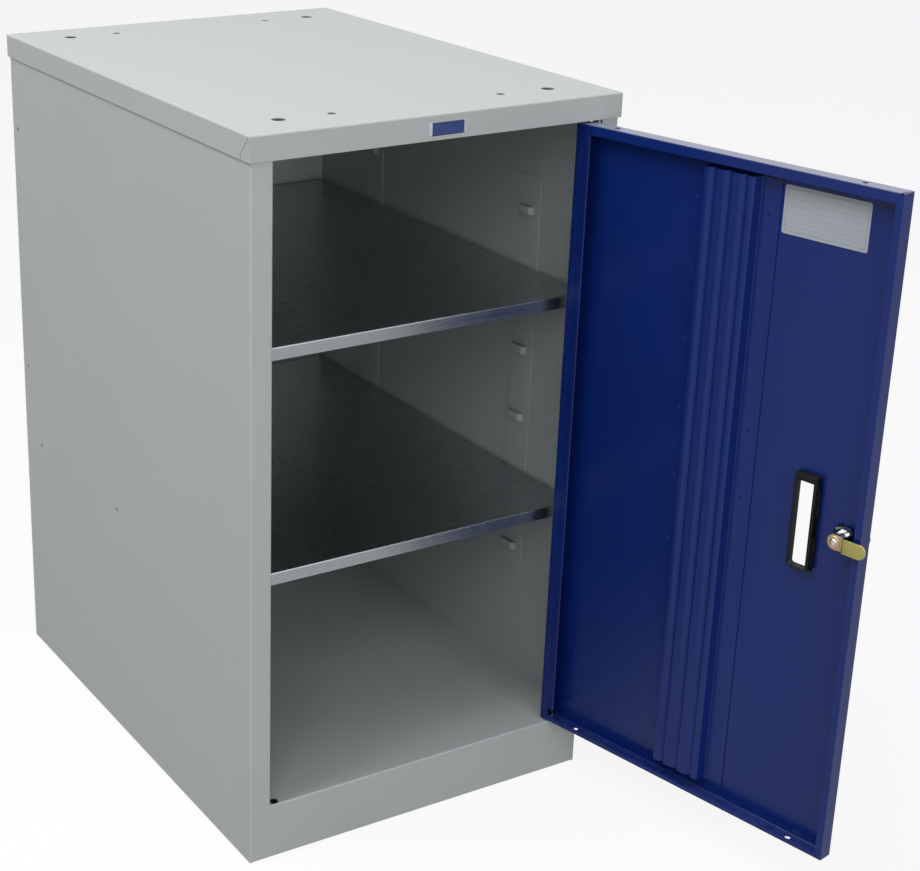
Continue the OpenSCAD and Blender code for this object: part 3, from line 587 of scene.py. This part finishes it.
def loft(bm, rings, place, closed=True):
    """Skin through rings of as many points each, given as (list of (a, b), depth); closed joins last to first."""
    rows = [[bm.verts.new(place(a, depth, b)) for a, b in points] for points, depth in rings]
    for i, row in enumerate(rows if closed else rows[:-1]):
        other = rows[(i + 1) % len(rows)]
        for k in range(len(row)):
            k2 = (k + 1) % len(row)
            bm.faces.new((row[k], row[k2], other[k2], other[k]))
    if not closed:
        for row in (rows[0], rows[-1]):
            bm.faces.new(row)


def cut_rectangle(left, low, width, height, cut_left, cut_right, inset, radius):
    """Rectangle with its lower corners cut off and all corners rounded, inset on every side."""
    reach = 0.586 * inset
    x0, x1, z0, z1 = left + inset, left + width - inset, low + inset, low + height - inset
    cl, cr = cut_left - reach, cut_right - reach
    corners = [(x0 + cl, z0), (x1 - cr, z0), (x1, z0 + cr), (x1, z1), (x0, z1), (x0, z0 + cl)]
    points = []
    for i, corner in enumerate(corners):
        points += fillet(corners[i - 1], corner, corners[(i + 1) % 6], radius, 4)
    return points


def ribbon(bm, line, thickness, place, low, high):
    """Sheet of one thickness along a line in the section, from low to high, with closed ends."""
    count = len(line)
    sides = ([], [])
    for i, (u, n) in enumerate(line):
        before, after = line[max(i - 1, 0)], line[min(i + 1, count - 1)]
        du, dn = after[0] - before[0], after[1] - before[1]
        size = math.hypot(du, dn)
        for side, sign in zip(sides, (0.5, -0.5)):
            side.append((u - sign * thickness * dn / size, n + sign * thickness * du / size))
    loop = sides[0] + sides[1][::-1]
    floor = [bm.verts.new(place(u, n, low)) for u, n in loop]
    roof = [bm.verts.new(place(u, n, high)) for u, n in loop]
    total = len(loop)
    for i in range(total):
        j = (i + 1) % total
        bm.faces.new((floor[i], floor[j], roof[j], roof[i]))
    for ends in (floor, roof):
        for i in range(count - 1):
            bm.faces.new((ends[i], ends[i + 1], ends[total - 2 - i], ends[total - 1 - i]))


def fillet(a, b, c, radius, steps=5):
    """Points of a rounded corner at b between a and c."""
    ab, cb = Vector(a) - Vector(b), Vector(c) - Vector(b)
    half = 0.5 * ab.angle(cb)
    reach = radius / math.tan(half)
    start, end = Vector(b) + ab.normalized() * reach, Vector(b) + cb.normalized() * reach
    centre = Vector(b) + (ab.normalized() + cb.normalized()).normalized() * (radius / math.sin(half))
    s, e = start - centre, end - centre
    turn = s.angle_signed(e)
    points = []
    for k in range(steps + 1):
        angle = -turn * k / steps
        points.append((centre[0] + s[0] * math.cos(angle) - s[1] * math.sin(angle),
                       centre[1] + s[0] * math.sin(angle) + s[1] * math.cos(angle)))
    return points


# ---------- door stiffener ----------

STIFF_LEFT, STIFF_FLANGE, STIFF_HAT, STIFF_LEAN = 133.0, 23.0, 62.0, 2.0
STIFF_LOW, STIFF_HIGH = 16.5, 679.0
STIFF_FOOT, STIFF_TOP = 16.0, 4.5
GROOVE_PITCH, GROOVE_DEPTH, GROOVE_HALF, GROOVE_STEPS = 18.5, 3.0, 5.0, 110
FOOT_RADIUS, CROWN_RADIUS, CROWN_END, SHEET_T = 1.6, 2.0, 2.6, 1.0


def build_stiffener(bm):
    u0 = STIFF_LEFT + STIFF_FLANGE
    u1 = u0 + STIFF_HAT
    corners = [(STIFF_LEFT, STIFF_FOOT), (u0, STIFF_FOOT), (u0 + STIFF_LEAN, STIFF_TOP),
               (u1 - STIFF_LEAN, STIFF_TOP), (u1, STIFF_FOOT), (u1 + STIFF_FLANGE, STIFF_FOOT)]
    middle = 0.5 * (u0 + u1)
    line = [corners[0]]
    line += fillet(*corners[0:3], FOOT_RADIUS)
    line += fillet(*corners[1:4], CROWN_RADIUS)
    left, right = u0 + STIFF_LEAN + CROWN_END, u1 - STIFF_LEAN - CROWN_END
    for k in range(GROOVE_STEPS + 1):
        u = left + (right - left) * k / GROOVE_STEPS
        drop = 0.0
        for centre in (middle - GROOVE_PITCH, middle, middle + GROOVE_PITCH):
            off = abs(u - centre)
            if off < GROOVE_HALF:
                drop += GROOVE_DEPTH * 0.5 * (1.0 + math.cos(math.pi * off / GROOVE_HALF))
        line.append((u, STIFF_TOP + drop))
    line += fillet(*corners[2:5], CROWN_RADIUS)
    line += fillet(*corners[3:6], FOOT_RADIUS)
    line.append(corners[5])
    ribbon(bm, line, SHEET_T, on_door, STIFF_LOW, STIFF_HIGH)


add_piece("stiffener", build_stiffener, "door_stiffener", degrees=50.0)


# ---------- lock ----------

BARREL_R, BARREL_FLAT, BORE_R = 9.0, 7.75, 6.56
SKIN_N, DOOR_T, HEAD_T = 16.5, 17.5, 3.0
HEAD_R, HEAD_NECK_R, HEAD_FACE_R = 11.0, 10.7, 10.4
THREAD_PITCH, THREAD_DEPTH, THREAD_START, BARREL_EASE = 1.0, 0.45, 0.5, 0.9
CREST_FROM, CREST_TO = 0.42, 0.58
NUT_AF, NUT_T, NUT_BORE_R, NUT_BORE_EASE_R = 23.0, 5.0, 9.02, 9.4
# Radii at which the nut's end cones have a ring, and the cones' slope.
NUT_CONE, NUT_SLOPE = (11.2, 11.5, 11.9, 12.3, 12.8, 13.4), 0.42
SCREW_SEAT, SCREW_TOP, DOME_R, DOME_H, DOME_STEPS = -3.5, -4.3, 3.9, 1.9, 22
CROSS_REACH, CROSS_HALF, CROSS_DEPTH = 2.2, 0.5, 1.0
WASHER_SEAT, WASHER_TOP, WASHER_R, WASHER_HOLE_R = -3.52, -4.1, 6.3, 2.6
ROUND_STEPS = 96


def build_barrel(bm):
    profile = [(BORE_R, 0.0), (BARREL_R - BARREL_EASE, 0.0)]
    turns = int(DOOR_T / THREAD_PITCH) - 1
    for k in range(turns):
        n = THREAD_START + k * THREAD_PITCH
        profile += [(BARREL_R - THREAD_DEPTH, n), (BARREL_R, n + CREST_FROM * THREAD_PITCH),
                    (BARREL_R, n + CREST_TO * THREAD_PITCH)]
    profile += [(BARREL_R - THREAD_DEPTH, DOOR_T), (HEAD_NECK_R, DOOR_T), (HEAD_R, DOOR_T + 0.4),
                (HEAD_R, DOOR_T + HEAD_T - 0.8), (HEAD_FACE_R, DOOR_T + HEAD_T), (BORE_R, DOOR_T + HEAD_T)]

    def flats(x, z, radius, depth):
        if depth < DOOR_T:
            x = max(-BARREL_FLAT, min(BARREL_FLAT, x))
        return x, z, depth

    spin(bm, profile, on_lock, ROUND_STEPS, flats)


def build_nut(bm):
    low, high = SKIN_N - NUT_T, SKIN_N
    profile = [(NUT_BORE_R, low + 0.3), (NUT_BORE_EASE_R, low)]
    profile += [(r, low + (r - NUT_CONE[0]) * NUT_SLOPE) for r in NUT_CONE]
    profile += [(r, high - (r - NUT_CONE[0]) * NUT_SLOPE) for r in reversed(NUT_CONE)] + [(NUT_BORE_R, high)]

    def hexagon(x, z, radius, depth):
        angle = math.atan2(z, x)
        flat = (angle + math.pi / 6) % (math.pi / 3) - math.pi / 6
        edge = 0.5 * NUT_AF / math.cos(math.pi / 6 - abs(flat))
        k = min(1.0, edge / radius)
        return x * k, z * k, depth

    spin(bm, profile, on_lock, ROUND_STEPS, hexagon)


def build_screw(bm):
    profile = [(0.0, SCREW_TOP - DOME_H)]
    for k in range(1, DOME_STEPS + 1):
        a = 0.5 * math.pi * k / DOME_STEPS
        profile.append((DOME_R * math.sin(a), SCREW_TOP - DOME_H * math.cos(a)))
    profile += [(DOME_R, SCREW_SEAT), (0.0, SCREW_SEAT)]

    def recess(x, z, radius, depth):
        near = min(abs(x), abs(z))
        if depth < SCREW_TOP - 0.3 and radius < CROSS_REACH and near < CROSS_HALF:
            depth = depth + CROSS_DEPTH
        return x, z, depth

    spin(bm, profile, on_lock, ROUND_STEPS, recess)


def build_washer(bm):
    spin(bm, [(WASHER_HOLE_R, WASHER_SEAT), (WASHER_HOLE_R, WASHER_TOP), (WASHER_R - 0.3, WASHER_TOP),
              (WASHER_R, WASHER_TOP + 0.25), (WASHER_R, WASHER_SEAT)], on_lock, 64)


add_piece("seat_washer", build_washer, slot="yellow_zinc", body="lock_core")
add_piece("threaded_barrel", build_barrel, "lock_barrel")
add_piece("chamfered_nut", build_nut, "lock_nut", degrees=25.0)
add_piece("domed_screw", build_screw, "cam_screw")
eased("lock_plug", "turning_plug", 0.35)
eased("lock_cam", "bent_cam", 0.4)
eased("lock_key", "folded_key", 0.6, 3)


# ---------- grip ----------

GRIP_U, GRIP_W0, GRIP_W, GRIP_H = 293.0, 298.5, 25.5, 101.5
GRIP_FACE, GRIP_CUT = 8.5, 6.0
SLOT_U, SLOT_W0, SLOT_W, SLOT_H, SLOT_CUT = 1.0, 2.0, 20.8, 92.0, 1.2
RIM, RIM_T, RIM_CUT = 4.0, 1.5, 3.6
# The two clip ribs on the grip's side: places up from its bottom, length, height, how far they start inside the
# side, taper, and from and to in depth below the skin.
RIB_LOWS, RIB_LEN, RIB_T, RIB_THROUGH, RIB_EASE = (7.0, 58.5), 29.5, 1.3, 1.0, 0.4
RIB_NEAR, RIB_FAR = 0.2, 3.7


def build_grip(bm):
    def body(inset, depth):
        return cut_rectangle(GRIP_U, GRIP_W0, GRIP_W, GRIP_H, GRIP_CUT, GRIP_CUT / 2, inset, 0.9), depth

    def rim(inset, depth):
        return cut_rectangle(GRIP_U - RIM, GRIP_W0 - RIM, GRIP_W + 2 * RIM, GRIP_H + 2 * RIM, RIM_CUT, RIM_CUT,
                             inset, 2.0), depth

    def slot(inset, depth):
        return cut_rectangle(GRIP_U + SLOT_U, GRIP_W0 + SLOT_W0, SLOT_W, SLOT_H, SLOT_CUT, 1.0, inset, 0.35), depth

    outer = DOOR_T + RIM_T
    loft(bm, [slot(0.0, outer - 0.3), slot(0.0, GRIP_FACE + 0.3), slot(-0.1, GRIP_FACE + 0.08),
              slot(-0.3, GRIP_FACE), body(0.5, GRIP_FACE), body(0.15, GRIP_FACE + 0.15), body(0.0, GRIP_FACE + 0.5),
              body(0.0, DOOR_T), rim(0.0, DOOR_T), rim(0.0, outer - 0.6), rim(0.2, outer - 0.18), rim(0.6, outer),
              slot(-0.3, outer)], on_door)
    side = GRIP_U + GRIP_W
    for start in RIB_LOWS:
        low = GRIP_W0 + start
        high = low + RIB_LEN
        foot = [(side - RIB_THROUGH, low), (side + RIB_T, low), (side + RIB_T, high), (side - RIB_THROUGH, high)]
        crown = [(side - RIB_THROUGH, low + RIB_EASE), (side + RIB_T - RIB_EASE, low + RIB_EASE),
                 (side + RIB_T - RIB_EASE, high - RIB_EASE), (side - RIB_THROUGH, high - RIB_EASE)]
        loft(bm, [(foot, SKIN_N - RIB_NEAR), (foot, SKIN_N - RIB_FAR + 0.5), (crown, SKIN_N - RIB_FAR)], on_door,
             closed=False)


add_piece("grip_pocket", build_grip, "grip_insert", degrees=30.0)


# ---------- bare name plate ----------

PLATE_BACK, PLATE_T, PLATE_CUT, PLATE_ROUND, PLATE_FOOT = -300.0, 1.0, 0.9, 0.45, 0.25


def build_plate(bm):
    def front(x, depth, z):
        return MM * Vector((x, PLATE_BACK - depth, z))

    def section(left, right, inset):
        return cut_rectangle(PLATE_X - PLATE_W / 2 + left, PLATE_Z - PLATE_H / 2 + inset, PLATE_W - left - right,
                             PLATE_H - 2 * inset, PLATE_CUT, PLATE_CUT, 0.0, PLATE_ROUND)

    loft(bm, [(section(0.0, 0.0, 0.0), 0.0), (section(0.0, 0.0, 0.0), PLATE_FOOT),
              (section(SLOPE_L - 0.4, SLOPE_R - 0.4, 0.75), PLATE_T - 0.06),
              (section(SLOPE_L, SLOPE_R, 1.0), PLATE_T), (section(SLOPE_L + 0.3, SLOPE_R + 0.3, 1.3), PLATE_T),
              (section(SLOPE_L + 0.5, SLOPE_R + 0.5, 1.5), PLATE_T - 0.2)], front, closed=False)


add_piece("bare_plate", build_plate, "name_plate", degrees=30.0)


# ---------- spot-weld marks on the stiffener's flanges ----------

def weld_tree():
    """Two rows of shallow round marks: points on a line, one mark on each, slightly uneven in size."""
    tree = bpy.data.node_groups.new("weld rows", "GeometryNodeTree")
    for label, kind in (("Geometry", "NodeSocketGeometry"), ("Count", "NodeSocketInt"), ("Start", VECTOR),
                        ("Step", VECTOR), ("Row", VECTOR), ("Turn", "NodeSocketRotation"), ("Radius", FLOAT),
                        ("Height", FLOAT), ("Seed", "NodeSocketInt"), ("Material", "NodeSocketMaterial")):
        tree.interface.new_socket(label, in_out="INPUT", socket_type=kind)
    tree.interface.new_socket("Geometry", in_out="OUTPUT", socket_type="NodeSocketGeometry")
    t = Tree(tree)
    given, out = t.add("NodeGroupInput").outputs, t.add("NodeGroupOutput").inputs
    line = t.add("GeometryNodeMeshLine", {"Count": given["Count"], "Start Location": given["Start"],
                                          "Offset": given["Step"]})
    second = t.add("GeometryNodeTransform", {"Geometry": line.outputs[0], "Translation": given["Row"]})
    rows = t.add("GeometryNodeJoinGeometry")
    t.tree.links.new(line.outputs[0], rows.inputs[0])
    t.tree.links.new(second.outputs[0], rows.inputs[0])
    mark = t.add("GeometryNodeMeshCone", {"Vertices": 28, "Radius Top": t.math("MULTIPLY", given["Radius"], 0.75),
                                          "Radius Bottom": given["Radius"], "Depth": given["Height"]})
    size = t.add("FunctionNodeRandomValue", {"Min": 0.9, "Max": 1.08, "Seed": given["Seed"]})
    size.data_type = "FLOAT"
    placed = t.add("GeometryNodeInstanceOnPoints", {"Points": rows.outputs[0], "Instance": mark.outputs["Mesh"],
                                                    "Rotation": given["Turn"]})
    even = next(socket for socket in size.outputs if socket.enabled)
    t.tree.links.new(even, placed.inputs["Scale"])
    real = t.add("GeometryNodeRealizeInstances", {0: placed.outputs[0]})
    done = t.add("GeometryNodeSetMaterial", {"Geometry": real.outputs[0], "Material": given["Material"]})
    t.tree.links.new(done.outputs[0], out["Geometry"])
    return tree


def add_welds(name, slot, body, values):
    blank = bpy.data.objects.new(name + "_blank", bpy.data.meshes.new(name + "_blank"))
    bpy.context.scene.collection.objects.link(blank)
    rows = blank.modifiers.new("rows", "NODES")
    rows.node_group = weld_tree()
    identifiers = {item.name: item.identifier for item in rows.node_group.interface.items_tree
                   if item.in_out == "INPUT"}
    for label, value in values.items():
        rows[identifiers[label]] = value
    finish_piece(name, evaluated_mesh(blank), slot=slot, body=body)


# The marks' places are guessed.
WELD_U, WELD_N, WELD_LOW, WELD_STEP, WELD_COUNT = 143.5, 15.46, 52.0, 74.0, 9
WELD_R, WELD_H, WELD_SEED = 2.6 * MM, 0.16 * MM, 4
WELD_OTHER_U = 2 * (STIFF_LEFT + STIFF_FLANGE + STIFF_HAT / 2) - WELD_U

add_welds("flange_welds", "deep_blue_powder", "door", {
    "Count": WELD_COUNT, "Start": on_door(WELD_U, WELD_N, WELD_LOW), "Step": MM * Vector((0.0, 0.0, WELD_STEP)),
    "Row": on_door(WELD_OTHER_U, 0.0, 0.0) - on_door(WELD_U, 0.0, 0.0),
    "Turn": (math.radians(90.0), 0.0, OPEN_TURN), "Radius": WELD_R, "Height": WELD_H, "Seed": WELD_SEED,
    "Material": finishes["deep_blue_powder"]})


# ---------- other small parts ----------

for where in ("lower", "upper"):
    eased(where + "_hinge_pin", where + "_pin", 0.5)
for where in ("lower_hinge", "upper_hinge", "lower_spare", "upper_spare"):
    eased(where + "_bush", where + "_collar", 0.2)
for where in ("front_left", "front_right", "rear_left", "rear_right"):
    eased(where + "_strip", where + "_tab_strip", 0.35)


# ---------- floor, light and background ----------

WORLD_DIFFUSE = 0.28
# Name, place, aim, size in metres and power in watts.
LAMPS = [("top_lamp", (-0.3, -0.3, 3.4), (0.0, 0.0, 0.6), (2.6, 2.6), 32.0),
         ("left_front_lamp", (-2.0, -3.0, 2.6), (0.0, 0.0, 0.4), (2.0, 1.6), 27.0),
         ("front_lamp", (0.6, -3.8, 1.6), (0.0, 0.0, 0.4), (2.0, 1.6), 19.0),
         ("low_front_lamp", (-0.2, -4.0, 0.9), (0.0, 0.0, 0.4), (1.6, 1.2), 18.0),
         ("left_lamp", (-2.0, 0.0, 3.2), (0.0, 0.0, 0.6), (1.6, 1.6), 56.0)]
FLOOR_BOUNCE, FLOOR_SEEN, FLOOR_HALF = 0.38, (0.95, 0.95, 0.95, 1.0), 14.0
# Share of plain white in the seen floor, which leaves a faint contact shadow.
FLOOR_WHITE = 0.86


def make_floor():
    mesh = bpy.data.meshes.new("floor")
    corners = [(x * FLOOR_HALF, y * FLOOR_HALF, 0) for x, y in ((-1, -1), (1, -1), (1, 1), (-1, 1))]
    mesh.from_pydata(corners, [], [(0, 1, 2, 3)])
    floor = bpy.data.objects.new("floor", mesh)
    bpy.context.scene.collection.objects.link(floor)
    material = bpy.data.materials.new("pale_floor")
    material.use_nodes = True
    t = Tree(material.node_tree)
    material.node_tree.nodes.remove(material.node_tree.nodes["Principled BSDF"])
    output = material.node_tree.nodes["Material Output"]
    path = t.add("ShaderNodeLightPath")
    seen = t.math("ADD", path.outputs["Is Camera Ray"], t.math("MULTIPLY", path.outputs["Is Glossy Ray"], 0.5),
                  True)
    shade = t.mix(path.outputs["Is Camera Ray"], (FLOOR_BOUNCE,) * 3 + (1.0,), FLOOR_SEEN)
    plain = t.add("ShaderNodeBsdfDiffuse", {"Color": shade})
    white = t.add("ShaderNodeEmission", {"Color": (1.0, 1.0, 1.0, 1.0), "Strength": 1.0})
    blend = t.add("ShaderNodeMixShader", {0: t.math("MULTIPLY", seen, FLOOR_WHITE), 1: plain.outputs[0],
                                          2: white.outputs[0]})
    t.tree.links.new(blend.outputs[0], output.inputs["Surface"])
    mesh.materials.append(material)


def make_world():
    world = bpy.data.worlds.new("studio")
    bpy.context.scene.world = world
    world.use_nodes = True
    t = Tree(world.node_tree)
    background = world.node_tree.nodes["Background"]
    path = t.add("ShaderNodeLightPath")
    seen = t.math("ADD", path.outputs["Is Camera Ray"],
                  t.math("ADD", path.outputs["Is Glossy Ray"], path.outputs["Is Transmission Ray"]), True)
    background.inputs["Color"].default_value = (1.0, 1.0, 1.0, 1.0)
    t.tree.links.new(t.span(seen, 0.0, 1.0, WORLD_DIFFUSE, 1.0), background.inputs["Strength"])


def make_lamp(name, place, target, size, power):
    data = bpy.data.lights.new(name, "AREA")
    data.shape = "RECTANGLE"
    data.size, data.size_y = size
    data.energy = power
    lamp = bpy.data.objects.new(name, data)
    bpy.context.scene.collection.objects.link(lamp)
    lamp.location = place
    lamp.rotation_euler = (Vector(target) - Vector(place)).to_track_quat("-Z", "Y").to_euler()


make_floor()
make_world()
for lamp in LAMPS:
    make_lamp(*lamp)

bpy.context.scene.view_settings.view_transform = "Standard"
